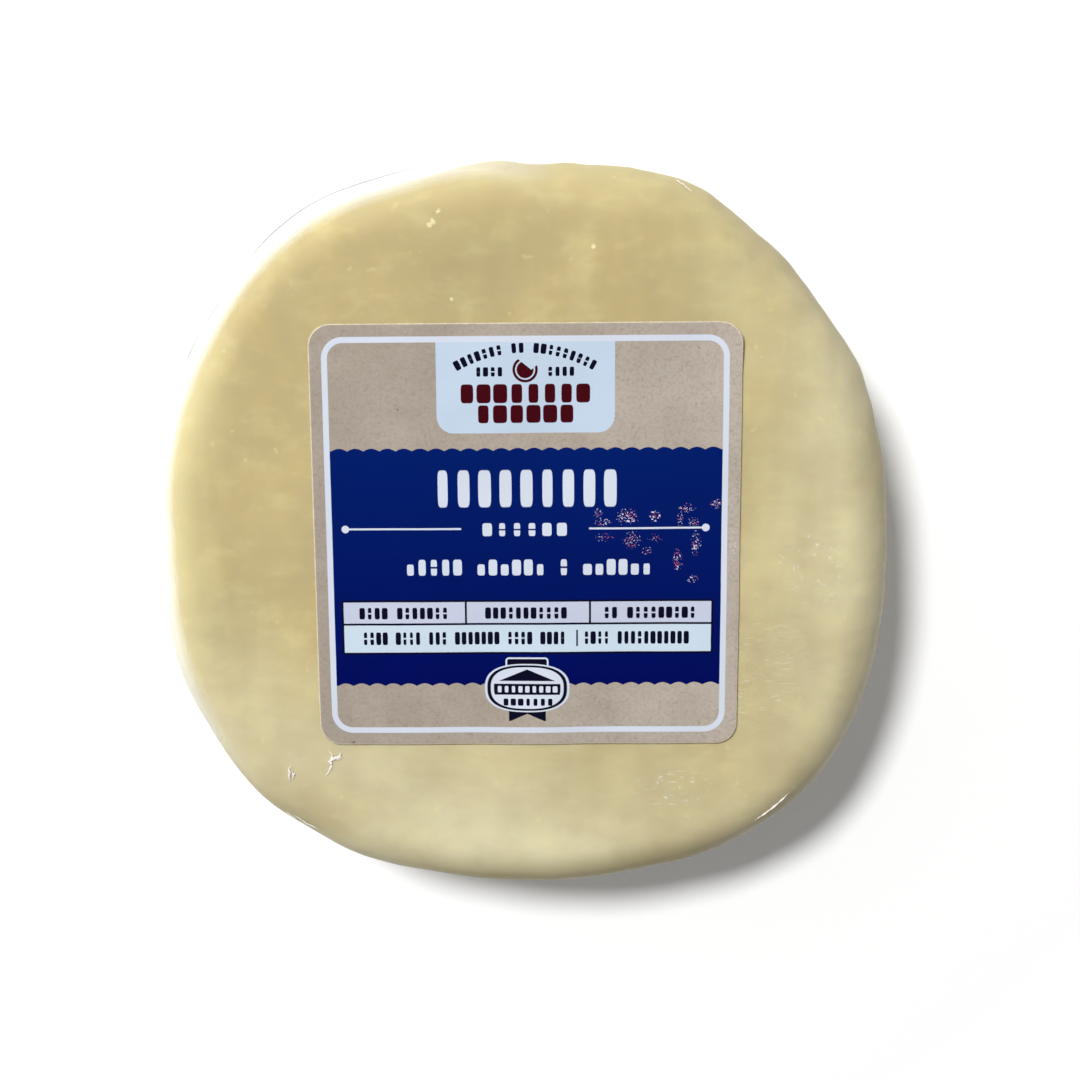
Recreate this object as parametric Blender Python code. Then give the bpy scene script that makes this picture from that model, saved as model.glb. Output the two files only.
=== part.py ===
"""A round of provolone, vacuum packed in clear film, with a square paper label stuck on top.

The pack is one closed solid out to the film: a rounded, slightly squared disc lying on its flat
underside, with soft shoulders and a faint crown. The label is a thin sheet that follows the crown.
Lengths are in metres, +Z is up, and the origin is at the middle of the bounding box's underside.
"""

import math

import bmesh
import bpy
from mathutils import Matrix, Vector

# Driving dimensions of the pack
MEAN_RADIUS = 0.0579
THICKNESS = 0.0250
CROWN = 0.0007
UPPER_SHOULDER = 0.0090
LOWER_SHOULDER = 0.0070
SHOULDER_EXPONENT = 2.3
FILM_SLACK = 0.0012

# The outline's departures from a circle: (lobes round the edge, height, direction of one lobe)
LOBES = (
    (2, 0.00025, math.radians(145)),
    (3, 0.00082, math.radians(84)),
    (4, 0.00130, math.radians(47)),
    (6, 0.00025, math.radians(7)),
    (7, 0.00026, math.radians(16)),
)

# Low swellings of the edge: (direction, half width, height)
SWELLINGS = (
    (math.radians(27), math.radians(9), 0.00070),
    (math.radians(68), math.radians(11), 0.00065),
    (math.radians(99), math.radians(7), 0.00090),
    (math.radians(199), math.radians(20), 0.00050),
    (math.radians(298), math.radians(12), 0.00035),
)

# The stretch of edge where the film stands off the cheese
SLACK_FROM = math.radians(92)
SLACK_TO = math.radians(196)
SLACK_RISE = 9.0
SLACK_FALL = 2.2

# Soft hollows pressed into the top: (x, y, radius, depth)
HOLLOWS = (
    (-0.0455, -0.0165, 0.0110, 0.00045),
    (-0.0330, -0.0455, 0.0080, 0.00025),
    (0.0120, 0.0475, 0.0130, 0.00030),
    (0.0480, 0.0060, 0.0120, 0.00030),
)

# Driving dimensions of the label
LABEL_SIDE = 0.0635
LABEL_CORNER = 0.0032
LABEL_THICKNESS = 0.0002
LABEL_GAP = 0.0003
LABEL_CENTRE = Vector((0.0008, 0.0004))
LABEL_LIFT = 0.0005
LABEL_LIFT_REACH = 0.0080

# Fineness of the meshes
EDGE_POINTS = 96
SHOULDER_STEPS = 8
TOP_RINGS = 9
CORNER_POINTS = 7
SIDE_POINTS = 12
LABEL_RINGS = 8
SHARP_ANGLE = math.radians(50)

FILM_LOOK = ((0.63, 0.50, 0.28, 1.0), 0.28)
PAPER_LOOK = ((0.38, 0.33, 0.28, 1.0), 0.60)


def clear_scene():
    """Removes whatever the startup file holds."""
    for thing in list(bpy.data.objects):
        bpy.data.objects.remove(thing, do_unlink=True)


def smooth_step(value):
    """0 below 0, 1 above 1, and an even rise between."""
    value = min(max(value, 0.0), 1.0)
    return value * value * (3.0 - 2.0 * value)


def slack_at(angle):
    """How far the film stands off at this direction: it fades in and out along its stretch."""
    share = (angle % math.tau - SLACK_FROM) / (SLACK_TO - SLACK_FROM)
    if not 0.0 < share < 1.0:
        return 0.0
    return FILM_SLACK * smooth_step(share * SLACK_RISE) * smooth_step((1.0 - share) * SLACK_FALL)


def swelling_at(angle):
    """How far the edge swells out at this direction."""
    height = 0.0
    for direction, half_width, most in SWELLINGS:
        away = abs((angle - direction + math.pi) % math.tau - math.pi)
        height += most * smooth_step(1.0 - away / half_width)
    return height


def outline_radius(angle):
    """Distance from the outline's own centre to its edge in one direction."""
    lobes = sum(height * math.cos(count * (angle - turn)) for count, height, turn in LOBES)
    return MEAN_RADIUS + lobes + swelling_at(angle) + slack_at(angle)


def edge_angles():
    """The directions of the pack's edge points, evenly spaced."""
    return [math.tau * index / EDGE_POINTS for index in range(EDGE_POINTS)]


def outline_offset():
    """What moves the middle of the outline's box onto the origin."""
    points = [Vector((math.cos(a), math.sin(a))) * outline_radius(a) for a in edge_angles()]
    return -Vector(
        [(min(p[axis] for p in points) + max(p[axis] for p in points)) / 2 for axis in range(2)]
    )


def top_height(x, y):
    """Height of the pack's upper face: a faint crown with soft hollows in it."""
    height = THICKNESS - CROWN * (math.hypot(x, y) / MEAN_RADIUS) ** 2
    for centre_x, centre_y, radius, depth in HOLLOWS:
        distance = math.hypot(x - centre_x, y - centre_y) / radius
        height -= depth * (1.0 - smooth_step(distance))
    return height


def ring(form, points):
    """Adds one closed loop of points to the mesh and gives its edges."""
    corners = [form.verts.new(point) for point in points]
    return [form.edges.new((corners[i - 1], corner)) for i, corner in enumerate(corners)]


def loft(form, rings):
    """Joins loops of points into one skin, each to the next, and gives the loops' edges."""
    loops = [ring(form, points) for points in rings]
    for lower, upper in zip(loops, loops[1:]):
        bmesh.ops.bridge_loops(form, edges=lower + upper)
    return loops


def new_object(name, form, look):
    """Makes a smooth-shaded object of its own plain material from a finished mesh."""
    mesh = bpy.data.meshes.new(name)
    form.to_mesh(mesh)
    form.free()
    mesh.shade_smooth()
    mesh.set_sharp_from_angle(angle=SHARP_ANGLE)
    colour, roughness = look
    material = bpy.data.materials.new(name)
    material.use_nodes = True
    shader = material.node_tree.nodes["Principled BSDF"]
    shader.inputs["Base Color"].default_value = colour
    shader.inputs["Roughness"].default_value = roughness
    shader.inputs["Metallic"].default_value = 0.0
    mesh.materials.append(material)
    made = bpy.data.objects.new(name, mesh)
    bpy.context.scene.collection.objects.link(made)
    return made


def pack_ring(shrink, height_at, offset):
    """One loop round the pack: the outline drawn in by shrink(angle), at height_at(x, y)."""
    points = []
    for angle in edge_angles():
        radius = outline_radius(angle) * shrink(angle)
        x = offset.x + radius * math.cos(angle)
        y = offset.y + radius * math.sin(angle)
        points.append((x, y, height_at(x, y)))
    return points


def drawn_in(depth):
    """A shrink that draws the outline in by the same depth all round."""
    return lambda angle: 1.0 - depth / outline_radius(angle)


def pack_rings():
    """The pack's loops, from the edge of its flat underside up to the middle of its top."""
    offset = outline_offset()
    middle = THICKNESS / 2
    power = 2.0 / SHOULDER_EXPONENT
    turns = [math.pi / 2 * step / SHOULDER_STEPS for step in range(SHOULDER_STEPS + 1)]
    rings = []
    for turn in reversed(turns):
        depth = LOWER_SHOULDER * (1.0 - max(math.cos(turn), 0.0) ** power)
        height = middle * (1.0 - math.sin(turn) ** power)
        rings.append(pack_ring(drawn_in(depth), lambda x, y, z=height: z, offset))
    for turn in turns[1:]:
        depth = UPPER_SHOULDER * (1.0 - max(math.cos(turn), 0.0) ** power)
        rise = math.sin(turn) ** power
        rings.append(
            pack_ring(
                drawn_in(depth),
                lambda x, y, share=rise: middle + (top_height(x, y) - middle) * share,
                offset,
            )
        )
    for step in range(1, TOP_RINGS):
        share = 1.0 - step / TOP_RINGS
        rings.append(
            pack_ring(
                lambda angle, s=share: s * (1.0 - UPPER_SHOULDER / outline_radius(angle)),
                top_height,
                offset,
            )
        )
    return rings


def make_pack():
    """The packed cheese out to its film, as one closed solid with a flat underside."""
    form = bmesh.new()
    loops = loft(form, pack_rings())
    bmesh.ops.contextual_create(form, geom=loops[0])
    bmesh.ops.contextual_create(form, geom=loops[-1])
    bmesh.ops.recalc_face_normals(form, faces=form.faces[:])
    return new_object("pack", form, FILM_LOOK)


def label_outline():
    """Offsets round the label from its centre: a round corner and a straight side, four times."""
    half = LABEL_SIDE / 2
    inner = half - LABEL_CORNER
    turns = [math.pi / 2 * step / (CORNER_POINTS - 1) for step in range(CORNER_POINTS)]
    corner = [
        Vector((inner + LABEL_CORNER * math.cos(turn), inner + LABEL_CORNER * math.sin(turn)))
        for turn in turns
    ]
    side = [
        Vector((inner - 2 * inner * step / SIDE_POINTS, half)) for step in range(1, SIDE_POINTS)
    ]
    return [
        Matrix.Rotation(math.pi / 2 * quarter, 2) @ point
        for quarter in range(4)
        for point in corner + side
    ]


def label_height(x, y):
    """Height of the label's underside: just above the pack, with one corner lifting off it."""
    lifted_corner = LABEL_CENTRE + Vector((LABEL_SIDE, LABEL_SIDE)) / 2
    away = (Vector((x, y)) - lifted_corner).length / LABEL_LIFT_REACH
    return top_height(x, y) + LABEL_GAP + LABEL_LIFT * smooth_step(1.0 - away)


def make_label():
    """The paper label: a rounded square sheet that follows the crown of the pack."""
    form = bmesh.new()
    rings = []
    for step in range(LABEL_RINGS):
        points = [LABEL_CENTRE + offset * (1.0 - step / LABEL_RINGS) for offset in label_outline()]
        rings.append([(point.x, point.y, label_height(point.x, point.y)) for point in points])
    loops = loft(form, rings)
    bmesh.ops.contextual_create(form, geom=loops[-1])
    bmesh.ops.recalc_face_normals(form, faces=form.faces[:])
    if form.faces[0].normal.z < 0:
        bmesh.ops.reverse_faces(form, faces=form.faces[:])
    label = new_object("label", form, PAPER_LOOK)
    paper = label.modifiers.new("paper thickness", "SOLIDIFY")
    paper.thickness = LABEL_THICKNESS
    paper.offset = 1.0
    paper.use_even_offset = True
    return label


clear_scene()
make_pack()
make_label()
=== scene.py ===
"""The looks of a vacuum-packed provolone round: the cheese, the clear film drawn over it and its label.

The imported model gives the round's place, size and outline. Every piece here is shaped from those and
from the sizes held by its own class. Lengths are in metres unless a name ends in _mm.
"""

import logging
import math
from collections.abc import Iterable, Mapping, Sequence
from dataclasses import dataclass
from enum import Enum
from functools import cached_property, reduce
from typing import Any, Union

import bpy
import numpy as np
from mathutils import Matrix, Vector


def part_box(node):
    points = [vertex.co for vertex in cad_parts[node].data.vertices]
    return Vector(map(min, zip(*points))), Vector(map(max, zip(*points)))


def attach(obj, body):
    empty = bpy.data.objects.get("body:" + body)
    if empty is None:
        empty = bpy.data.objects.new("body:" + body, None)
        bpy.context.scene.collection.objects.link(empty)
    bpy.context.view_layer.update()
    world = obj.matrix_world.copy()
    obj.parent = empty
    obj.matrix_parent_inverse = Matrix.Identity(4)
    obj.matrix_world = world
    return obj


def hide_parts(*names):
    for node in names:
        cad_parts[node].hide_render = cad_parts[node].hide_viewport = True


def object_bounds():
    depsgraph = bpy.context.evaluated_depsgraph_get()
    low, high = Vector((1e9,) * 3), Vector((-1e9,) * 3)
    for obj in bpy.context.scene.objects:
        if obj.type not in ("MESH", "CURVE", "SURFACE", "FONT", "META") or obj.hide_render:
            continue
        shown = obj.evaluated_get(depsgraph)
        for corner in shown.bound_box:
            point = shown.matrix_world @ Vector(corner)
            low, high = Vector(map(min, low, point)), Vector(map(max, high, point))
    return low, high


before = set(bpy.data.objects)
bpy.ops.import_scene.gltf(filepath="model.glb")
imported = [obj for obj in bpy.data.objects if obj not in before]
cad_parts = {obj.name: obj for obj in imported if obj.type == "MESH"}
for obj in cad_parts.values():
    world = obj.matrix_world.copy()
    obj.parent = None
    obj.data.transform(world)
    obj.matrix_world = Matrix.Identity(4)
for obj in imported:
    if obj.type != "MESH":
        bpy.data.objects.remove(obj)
cad_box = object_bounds()

LOG = logging.getLogger("provolone")
BODY = "root"
MM = 0.001

Colour = tuple[float, float, float, float]
Points = np.ndarray

WHITE: Colour = (1.0, 1.0, 1.0, 1.0)
BLACK: Colour = (0.0, 0.0, 0.0, 1.0)


def tint(red: int, green: int, blue: int) -> Colour:
    """Turns a screen colour into the linear colour that shaders use.

    Args:
        red: Red from 0 to 255.
        green: Green from 0 to 255.
        blue: Blue from 0 to 255.

    Returns:
        The same colour in linear light, with full alpha.
    """
    shares = [channel / 255.0 for channel in (red, green, blue)]
    linear = [s / 12.92 if s <= 0.04045 else ((s + 0.055) / 1.055) ** 2.4 for s in shares]
    return (linear[0], linear[1], linear[2], 1.0)


def ease(share: Points) -> Points:
    """Gives an even rise from 0 to 1 over shares 0 to 1, flat outside them."""
    share = np.clip(share, 0.0, 1.0)
    return share * share * (3.0 - 2.0 * share)


# ---------------------------------------------------------------------------------------------
# Shader building
# ---------------------------------------------------------------------------------------------


class Signal:
    """A number running through a material, on which Python's operators add Math nodes."""

    def __init__(self, bench: "Bench", socket: bpy.types.NodeSocket) -> None:
        """Wraps a socket.

        Args:
            bench: The bench whose tree the socket is in.
            socket: The output socket that carries the number.
        """
        self.bench = bench
        self.socket = socket

    def _math(self, operation: str, *operands: "Number", clamp: bool = False) -> "Signal":
        """Adds one Math node.

        Args:
            operation: The node's operation.
            operands: Its inputs, in order.
            clamp: Whether the result is held between 0 and 1.

        Returns:
            The node's result.
        """
        settings = {"operation": operation, "use_clamp": clamp}
        node = self.bench.node("ShaderNodeMath", settings, dict(enumerate(operands)))
        return Signal(self.bench, node.outputs[0])

    def __add__(self, other: "Number") -> "Signal":
        """Adds."""
        return self._math("ADD", self, other)

    def __radd__(self, other: "Number") -> "Signal":
        """Adds, with the number first."""
        return self._math("ADD", other, self)

    def __sub__(self, other: "Number") -> "Signal":
        """Subtracts."""
        return self._math("SUBTRACT", self, other)

    def __rsub__(self, other: "Number") -> "Signal":
        """Subtracts this from a number."""
        return self._math("SUBTRACT", other, self)

    def __mul__(self, other: "Number") -> "Signal":
        """Multiplies."""
        return self._math("MULTIPLY", self, other)

    def __rmul__(self, other: "Number") -> "Signal":
        """Multiplies, with the number first."""
        return self._math("MULTIPLY", other, self)

    def __truediv__(self, other: "Number") -> "Signal":
        """Divides."""
        return self._math("DIVIDE", self, other)

    def __pow__(self, other: "Number") -> "Signal":
        """Raises to a power."""
        return self._math("POWER", self, other)

    def __abs__(self) -> "Signal":
        """Drops the sign."""
        return self._math("ABSOLUTE", self)

    def either(self, other: "Number") -> "Signal":
        """Gives the larger of the two."""
        return self._math("MAXIMUM", self, other)

    def both(self, other: "Number") -> "Signal":
        """Gives the smaller of the two."""
        return self._math("MINIMUM", self, other)

    def wave(self) -> "Signal":
        """Gives the sine."""
        return self._math("SINE", self)

    def part(self) -> "Signal":
        """Gives what is after the decimal point."""
        return self._math("FRACT", self)

    def turn(self, other: "Number") -> "Signal":
        """Gives the angle whose opposite side is this number, and whose near side is the other."""
        return self._math("ARCTAN2", self, other)

    def root(self) -> "Signal":
        """Gives the square root."""
        return self._math("SQRT", self)

    def held(self) -> "Signal":
        """Holds the number between 0 and 1."""
        return self._math("ADD", self, 0.0, clamp=True)

    def within(self, edge: float, soft: float) -> "Signal":
        """Masks where the number is under an edge.

        Args:
            edge: Where the mask is half.
            soft: How wide its fade is.

        Returns:
            1 well under the edge, 0 well over it.
        """
        return self._math("MULTIPLY_ADD", self, -1.0 / soft, 0.5 + edge / soft, clamp=True)

    def beyond(self, edge: float, soft: float) -> "Signal":
        """Masks where the number is over an edge, with a fade of the given width."""
        return self._math("MULTIPLY_ADD", self, 1.0 / soft, 0.5 - edge / soft, clamp=True)


Number = Union[Signal, float, int]


class Bench:
    """One material's or world's node tree, and the ways of adding to it."""

    def __init__(self, tree: bpy.types.NodeTree) -> None:
        """Takes over a tree and empties it."""
        self.tree = tree
        tree.nodes.clear()

    def node(
        self,
        kind: str,
        settings: Mapping[str, Any] | None = None,
        inputs: Mapping[Union[str, int], Any] | None = None,
    ) -> bpy.types.Node:
        """Adds any node.

        Args:
            kind: The node's Blender type.
            settings: Its own settings, set before its inputs. "stops" fills a colour ramp and
                "steps" fills one that jumps from stop to stop.
            inputs: What each socket holds or is linked to, by socket name or number.

        Returns:
            The node.
        """
        made = self.tree.nodes.new(kind)
        for name, setting in (settings or {}).items():
            if name in ("stops", "steps"):
                self._fill_ramp(made.color_ramp, setting)
                made.color_ramp.interpolation = "CONSTANT" if name == "steps" else "LINEAR"
            else:
                setattr(made, name, setting)
        for name, given in (inputs or {}).items():
            if isinstance(given, Signal):
                given = given.socket
            if isinstance(given, bpy.types.NodeSocket):
                self.tree.links.new(given, made.inputs[name])
            else:
                made.inputs[name].default_value = given
        return made

    @staticmethod
    def _fill_ramp(ramp: bpy.types.ColorRamp, stops: Sequence[tuple[float, Colour]]) -> None:
        """Replaces a ramp's stops.

        Args:
            ramp: The ramp.
            stops: Each stop's place and colour, in order.
        """
        while len(ramp.elements) > 1:
            ramp.elements.remove(ramp.elements[-1])
        ramp.elements[0].position, ramp.elements[0].color = stops[0]
        for place, colour in stops[1:]:
            ramp.elements.new(place).color = colour

    def number(self, kind: str, output: str, **rest: Any) -> Signal:
        """Adds a node and wraps one of its outputs as a number."""
        return Signal(self, self.node(kind, **rest).outputs[output])

    def place(self) -> bpy.types.NodeSocket:
        """Gives the point on the piece, in the row's own metres."""
        return self.node("ShaderNodeTexCoord").outputs["Object"]

    def axes(self, place: bpy.types.NodeSocket) -> tuple[Signal, Signal, Signal]:
        """Splits a point into its three coordinates."""
        split = self.node("ShaderNodeSeparateXYZ", inputs={"Vector": place})
        return tuple(Signal(self, split.outputs[axis]) for axis in "XYZ")

    def moved(
        self,
        place: bpy.types.NodeSocket,
        scale: tuple[float, float, float] = (1.0, 1.0, 1.0),
        shift: tuple[float, float, float] = (0.0, 0.0, 0.0),
        turn: tuple[float, float, float] = (0.0, 0.0, 0.0),
    ) -> bpy.types.NodeSocket:
        """Moves, turns and stretches a point.

        Args:
            place: The point.
            scale: How much each axis is stretched.
            shift: What is added.
            turn: The turn about each axis, in radians.

        Returns:
            The new point.
        """
        inputs = {"Vector": place, "Location": shift, "Rotation": turn, "Scale": scale}
        return self.node("ShaderNodeMapping", inputs=inputs).outputs[0]

    def noise(
        self,
        place: bpy.types.NodeSocket,
        size: float,
        detail: float = 2.0,
        rough: float = 0.5,
        bent: float = 0.0,
    ) -> Signal:
        """Adds noise whose blotches are about the given size across.

        Args:
            place: The point.
            size: The size of its blotches, in metres.
            detail: How many finer layers it has.
            rough: How strong those are.
            bent: How much it is distorted.

        Returns:
            Noise between 0 and 1.
        """
        inputs = {
            "Vector": place,
            "Scale": 1.0 / size,
            "Detail": detail,
            "Roughness": rough,
            "Distortion": bent,
        }
        return self.number("ShaderNodeTexNoise", "Fac", inputs=inputs)

    def blend(self, under: Any, over: Any, share: Number) -> bpy.types.NodeSocket:
        """Mixes two colours.

        Args:
            under: The colour where share is 0, as a colour or a socket.
            over: The colour where share is 1.
            share: How much of the second is used.

        Returns:
            The mixed colour.
        """
        inputs = {"Factor": share, 6: under, 7: over}
        return self.node("ShaderNodeMix", {"data_type": "RGBA"}, inputs).outputs[2]

    @staticmethod
    def oval(x: Signal, y: Signal, middle: tuple[float, float], reach: tuple[float, float]) -> Signal:
        """Masks an oval patch.

        Args:
            x: Across.
            y: Up, in the same units.
            middle: The patch's middle.
            reach: How far it goes each way.

        Returns:
            1 in its middle, fading to 0 at its edge.
        """
        across, up = (x - middle[0]) / reach[0], (y - middle[1]) / reach[1]
        return (across * across + up * up).within(0.6, 0.8)

    def mix(
        self, under: bpy.types.NodeSocket, over: bpy.types.NodeSocket, share: Signal
    ) -> bpy.types.NodeSocket:
        """Mixes two shaders, with the second showing where share is 1."""
        return self.node("ShaderNodeMixShader", inputs={0: share, 1: under, 2: over}).outputs[0]

    def surface(self, inputs: Mapping[Union[str, int], Any]) -> bpy.types.NodeSocket:
        """Adds the usual shader of a solid surface."""
        return self.node("ShaderNodeBsdfPrincipled", inputs=inputs).outputs[0]

    def clear(self) -> bpy.types.NodeSocket:
        """Adds a shader that light goes straight through."""
        return self.node("ShaderNodeBsdfTransparent").outputs[0]

    def bump(self, height: Signal, depth: float, under: Any = None) -> bpy.types.NodeSocket:
        """Turns a height into a normal.

        Args:
            height: The height, from 0 to 1.
            depth: What a height of 1 stands for, in metres.
            under: A normal that this one is added to.

        Returns:
            The normal.
        """
        inputs: dict[Union[str, int], Any] = {"Height": height, "Strength": 1.0, "Distance": depth}
        if under is not None:
            inputs["Normal"] = under
        return self.node("ShaderNodeBump", inputs=inputs).outputs[0]

    def finish(self, shader: bpy.types.NodeSocket) -> None:
        """Shows a shader on the material's surface."""
        self.node("ShaderNodeOutputMaterial", inputs={"Surface": shader})


class Finish:
    """A finish that makes one material from its own sizes and colours."""

    name: str = "finish"

    def material(self) -> bpy.types.Material:
        """Makes the material.

        Returns:
            A material whose nodes are the finish's own.
        """
        made = bpy.data.materials.new(self.name)
        made.use_nodes = True
        bench = Bench(made.node_tree)
        bench.finish(self.shader(bench))
        return made

    def shader(self, bench: Bench) -> bpy.types.NodeSocket:
        """Builds the surface shader on the bench."""
        raise NotImplementedError


# ---------------------------------------------------------------------------------------------
# The round's surface
# ---------------------------------------------------------------------------------------------


@dataclass(frozen=True)
class Ripple:
    """Soft uneven relief: waves that run in scattered directions.

    Attributes:
        seed: Fixes the directions and phases.
        shortest: The shortest wave.
        longest: The longest wave.
        height: How far the relief usually rises or falls.
        stretch: How much each axis is stretched, so that waves can run one way.
        waves: How many waves are added.
    """

    seed: int
    shortest: float
    longest: float
    height: float
    stretch: tuple[float, float, float] = (1.0, 1.0, 1.0)
    waves: int = 28

    def at(self, points: Points) -> Points:
        """Gives the relief at each point.

        Args:
            points: Points, with their coordinates in the last axis.

        Returns:
            One height for each point.
        """
        draw = np.random.default_rng(self.seed)
        ways = draw.normal(size=(self.waves, 3))
        ways /= np.linalg.norm(ways, axis=1, keepdims=True)
        lengths = draw.uniform(self.shortest, self.longest, self.waves)
        phases = draw.uniform(0.0, math.tau, self.waves)
        total = np.zeros(points.shape[:-1])
        for way, length, phase in zip(ways, lengths, phases):
            total += np.sin(points @ (way / np.array(self.stretch)) * math.tau / length + phase)
        return self.height * total / math.sqrt(self.waves / 2)


@dataclass(frozen=True)
class Hollow:
    """A soft hollow, or with a negative depth a soft swelling, in the upper face."""

    x: float
    y: float
    radius: float
    depth: float

    def at(self, points: Points) -> Points:
        """Gives how far the hollow sinks each point."""
        away = np.hypot(points[..., 0] - self.x, points[..., 1] - self.y) / self.radius
        return self.depth * (1.0 - ease(away))


@dataclass(frozen=True)
class Round:
    """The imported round's outer surface, from the outline of its solid and the shoulders' sizes.

    A place on it is a direction round the round and a station: 0 to 1 across the upper face, 1 to 2
    down the upper shoulder, 2 to 3 down the lower shoulder and 3 to 4 across the underside.

    Attributes:
        node: Its solid.
        upper_shoulder: How far in from the edge the upper shoulder starts.
        lower_shoulder: How far in from the edge the lower one ends.
        exponent: How square the shoulders are, where 2 is round.
        crown: How much higher the upper face is in its middle.
        slack: How far the film stands off the cheese where it is loose.
        slack_from: The direction in which it comes loose.
        slack_to: The direction in which it hugs the cheese again.
        lobes: How many waves make up the outline.
        swells: The cheese's broad unevenness.
        lumps: Its finer unevenness.
        rim_lumps: The lumps along part of its rim.
        rim_lumps_turn: The direction in which those are.
        rim_lumps_from: How far out they start.
        rim_lumps_fade: Over what distance they come up.
        hollows: The dents in its upper face.
    """

    node: str = "pack"
    upper_shoulder: float = 9.0 * MM
    lower_shoulder: float = 7.0 * MM
    exponent: float = 2.3
    crown: float = 0.7 * MM
    slack: float = 1.5 * MM
    slack_from: float = math.radians(92)
    slack_to: float = math.radians(196)
    lobes: int = 22
    swells: Ripple = Ripple(3, 14.0 * MM, 38.0 * MM, 0.12 * MM)
    lumps: Ripple = Ripple(8, 4.5 * MM, 9.0 * MM, 0.025 * MM)
    rim_lumps: Ripple = Ripple(15, 3.0 * MM, 7.0 * MM, 0.06 * MM, stretch=(1.0, 1.0, 3.0))
    rim_lumps_turn: float = math.radians(45)
    rim_lumps_from: float = 50.0 * MM
    rim_lumps_fade: float = 4.0 * MM
    hollows: tuple[Hollow, ...] = (
        Hollow(-45.5 * MM, -16.5 * MM, 11.0 * MM, 0.55 * MM),
        Hollow(-33.0 * MM, -45.5 * MM, 8.0 * MM, 0.25 * MM),
        Hollow(12.0 * MM, 47.5 * MM, 13.0 * MM, 0.30 * MM),
        Hollow(48.0 * MM, 6.0 * MM, 12.0 * MM, 0.30 * MM),
    )

    def thickness(self) -> float:
        """Gives the solid's height."""
        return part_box(self.node)[1].z

    @cached_property
    def lobe_parts(self) -> Points:
        """Splits the solid's outline at half its height into its lobes, as complex sizes.

        Returns:
            One complex size for each lobe, starting with the mean distance.
        """
        places = np.array([v.co[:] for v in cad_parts[self.node].data.vertices])
        middle = self.thickness() / 2
        rim = places[np.abs(places[:, 2] - middle) < 0.02 * middle]
        turns = np.arctan2(rim[:, 1], rim[:, 0])
        order = np.argsort(turns)
        reach = np.hypot(rim[:, 0], rim[:, 1])[order]
        even = np.linspace(0.0, math.tau, 192, endpoint=False)
        sampled = np.interp(even, turns[order], reach, period=math.tau)
        return np.fft.rfft(sampled)[: self.lobes] / len(even)

    def outline(self, angles: Points) -> Points:
        """Gives the edge's distance from the middle in each direction, as a smooth curve.

        Args:
            angles: Directions, in radians.

        Returns:
            One distance for each direction.
        """
        result = np.full(np.shape(angles), self.lobe_parts[0].real)
        for count in range(1, self.lobes):
            wave = self.lobe_parts[count] * np.exp(1j * count * np.asarray(angles))
            result = result + 2.0 * wave.real
        return result

    def standoff(self, angles: Points) -> Points:
        """Gives how far the film stands off the cheese at the edge, in each direction.

        Args:
            angles: Directions, in radians.

        Returns:
            One distance for each direction.
        """
        share = (np.asarray(angles) % math.tau - self.slack_from) / (self.slack_to - self.slack_from)
        inside = (share > 0.0) & (share < 1.0)
        return np.where(inside, self.slack * ease(share * 9.0) * ease((1.0 - share) * 2.2), 0.0)

    def base(self, angles: Points, stations: Points) -> Points:
        """Gives points of the plain surface, before any relief.

        Args:
            angles: Directions, in radians.
            stations: Stations, in an array of the same shape.

        Returns:
            Points, with their coordinates in the last axis.
        """
        edge = self.outline(angles)
        power = 2.0 / self.exponent
        middle = self.thickness() / 2
        upper = stations <= 2.0
        turn = np.clip(np.where(upper, 2.0 - stations, stations - 2.0), 0.0, 1.0) * math.pi / 2
        shoulder = np.where(upper, self.upper_shoulder, self.lower_shoulder)
        flat = np.clip(np.where(upper, stations, 4.0 - stations), 0.0, 1.0)
        round_part = shoulder * np.clip(np.cos(turn), 0.0, 1.0) ** power
        reach = flat * (edge - shoulder) + np.where(flat >= 1.0, round_part, 0.0)
        rise = np.sin(turn) ** power
        top = 2.0 * middle - self.crown * (reach / edge) ** 2
        z = np.where(upper, middle + (top - middle) * rise, middle * (1.0 - rise))
        return np.stack([reach * np.cos(angles), reach * np.sin(angles), z], axis=-1)

    def normals(self, angles: Points, stations: Points) -> Points:
        """Gives the direction that the plain surface faces at each place.

        Args:
            angles: Directions, in radians.
            stations: Stations, in an array of the same shape.

        Returns:
            Unit directions, with their coordinates in the last axis.
        """
        nudge = 2e-3
        down = self.base(angles, stations + nudge) - self.base(angles, stations - nudge)
        ahead = self.base(angles + nudge, stations) - self.base(angles - nudge, stations)
        facing = np.cross(down, ahead)
        return facing / np.linalg.norm(facing, axis=-1, keepdims=True)

    def relief(self, points: Points) -> Points:
        """Gives how far the cheese swells from the plain surface at each of its points.

        Args:
            points: Points of the plain surface.

        Returns:
            One distance for each point, outwards.
        """
        height = self.swells.at(points) + self.lumps.at(points)
        level = points[..., 2] / self.thickness()
        for hollow in self.hollows:
            height = height - hollow.at(points) * ease(level * 2.0 - 0.9)
        turns = np.arctan2(points[..., 1], points[..., 0])
        near = ease(np.cos(turns - self.rim_lumps_turn) * 2.5 - 1.0)
        reach = np.hypot(points[..., 0], points[..., 1])
        outer = ease((reach - self.rim_lumps_from) / self.rim_lumps_fade)
        height = height + self.rim_lumps.at(points) * near * outer
        return height * ease(level * 6.0)

    def skin(self, angles: Points, stations: Points, lift: Points | float = 0.0) -> Points:
        """Gives points of the surface with its relief.

        Args:
            angles: Directions, in radians.
            stations: Stations, in an array of the same shape.
            lift: How much further each point is raised, along its normal.

        Returns:
            Points, with their coordinates in the last axis.
        """
        points = self.base(angles, stations)
        raised = self.relief(points) + lift
        return points + self.normals(angles, stations) * raised[..., None]

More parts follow.
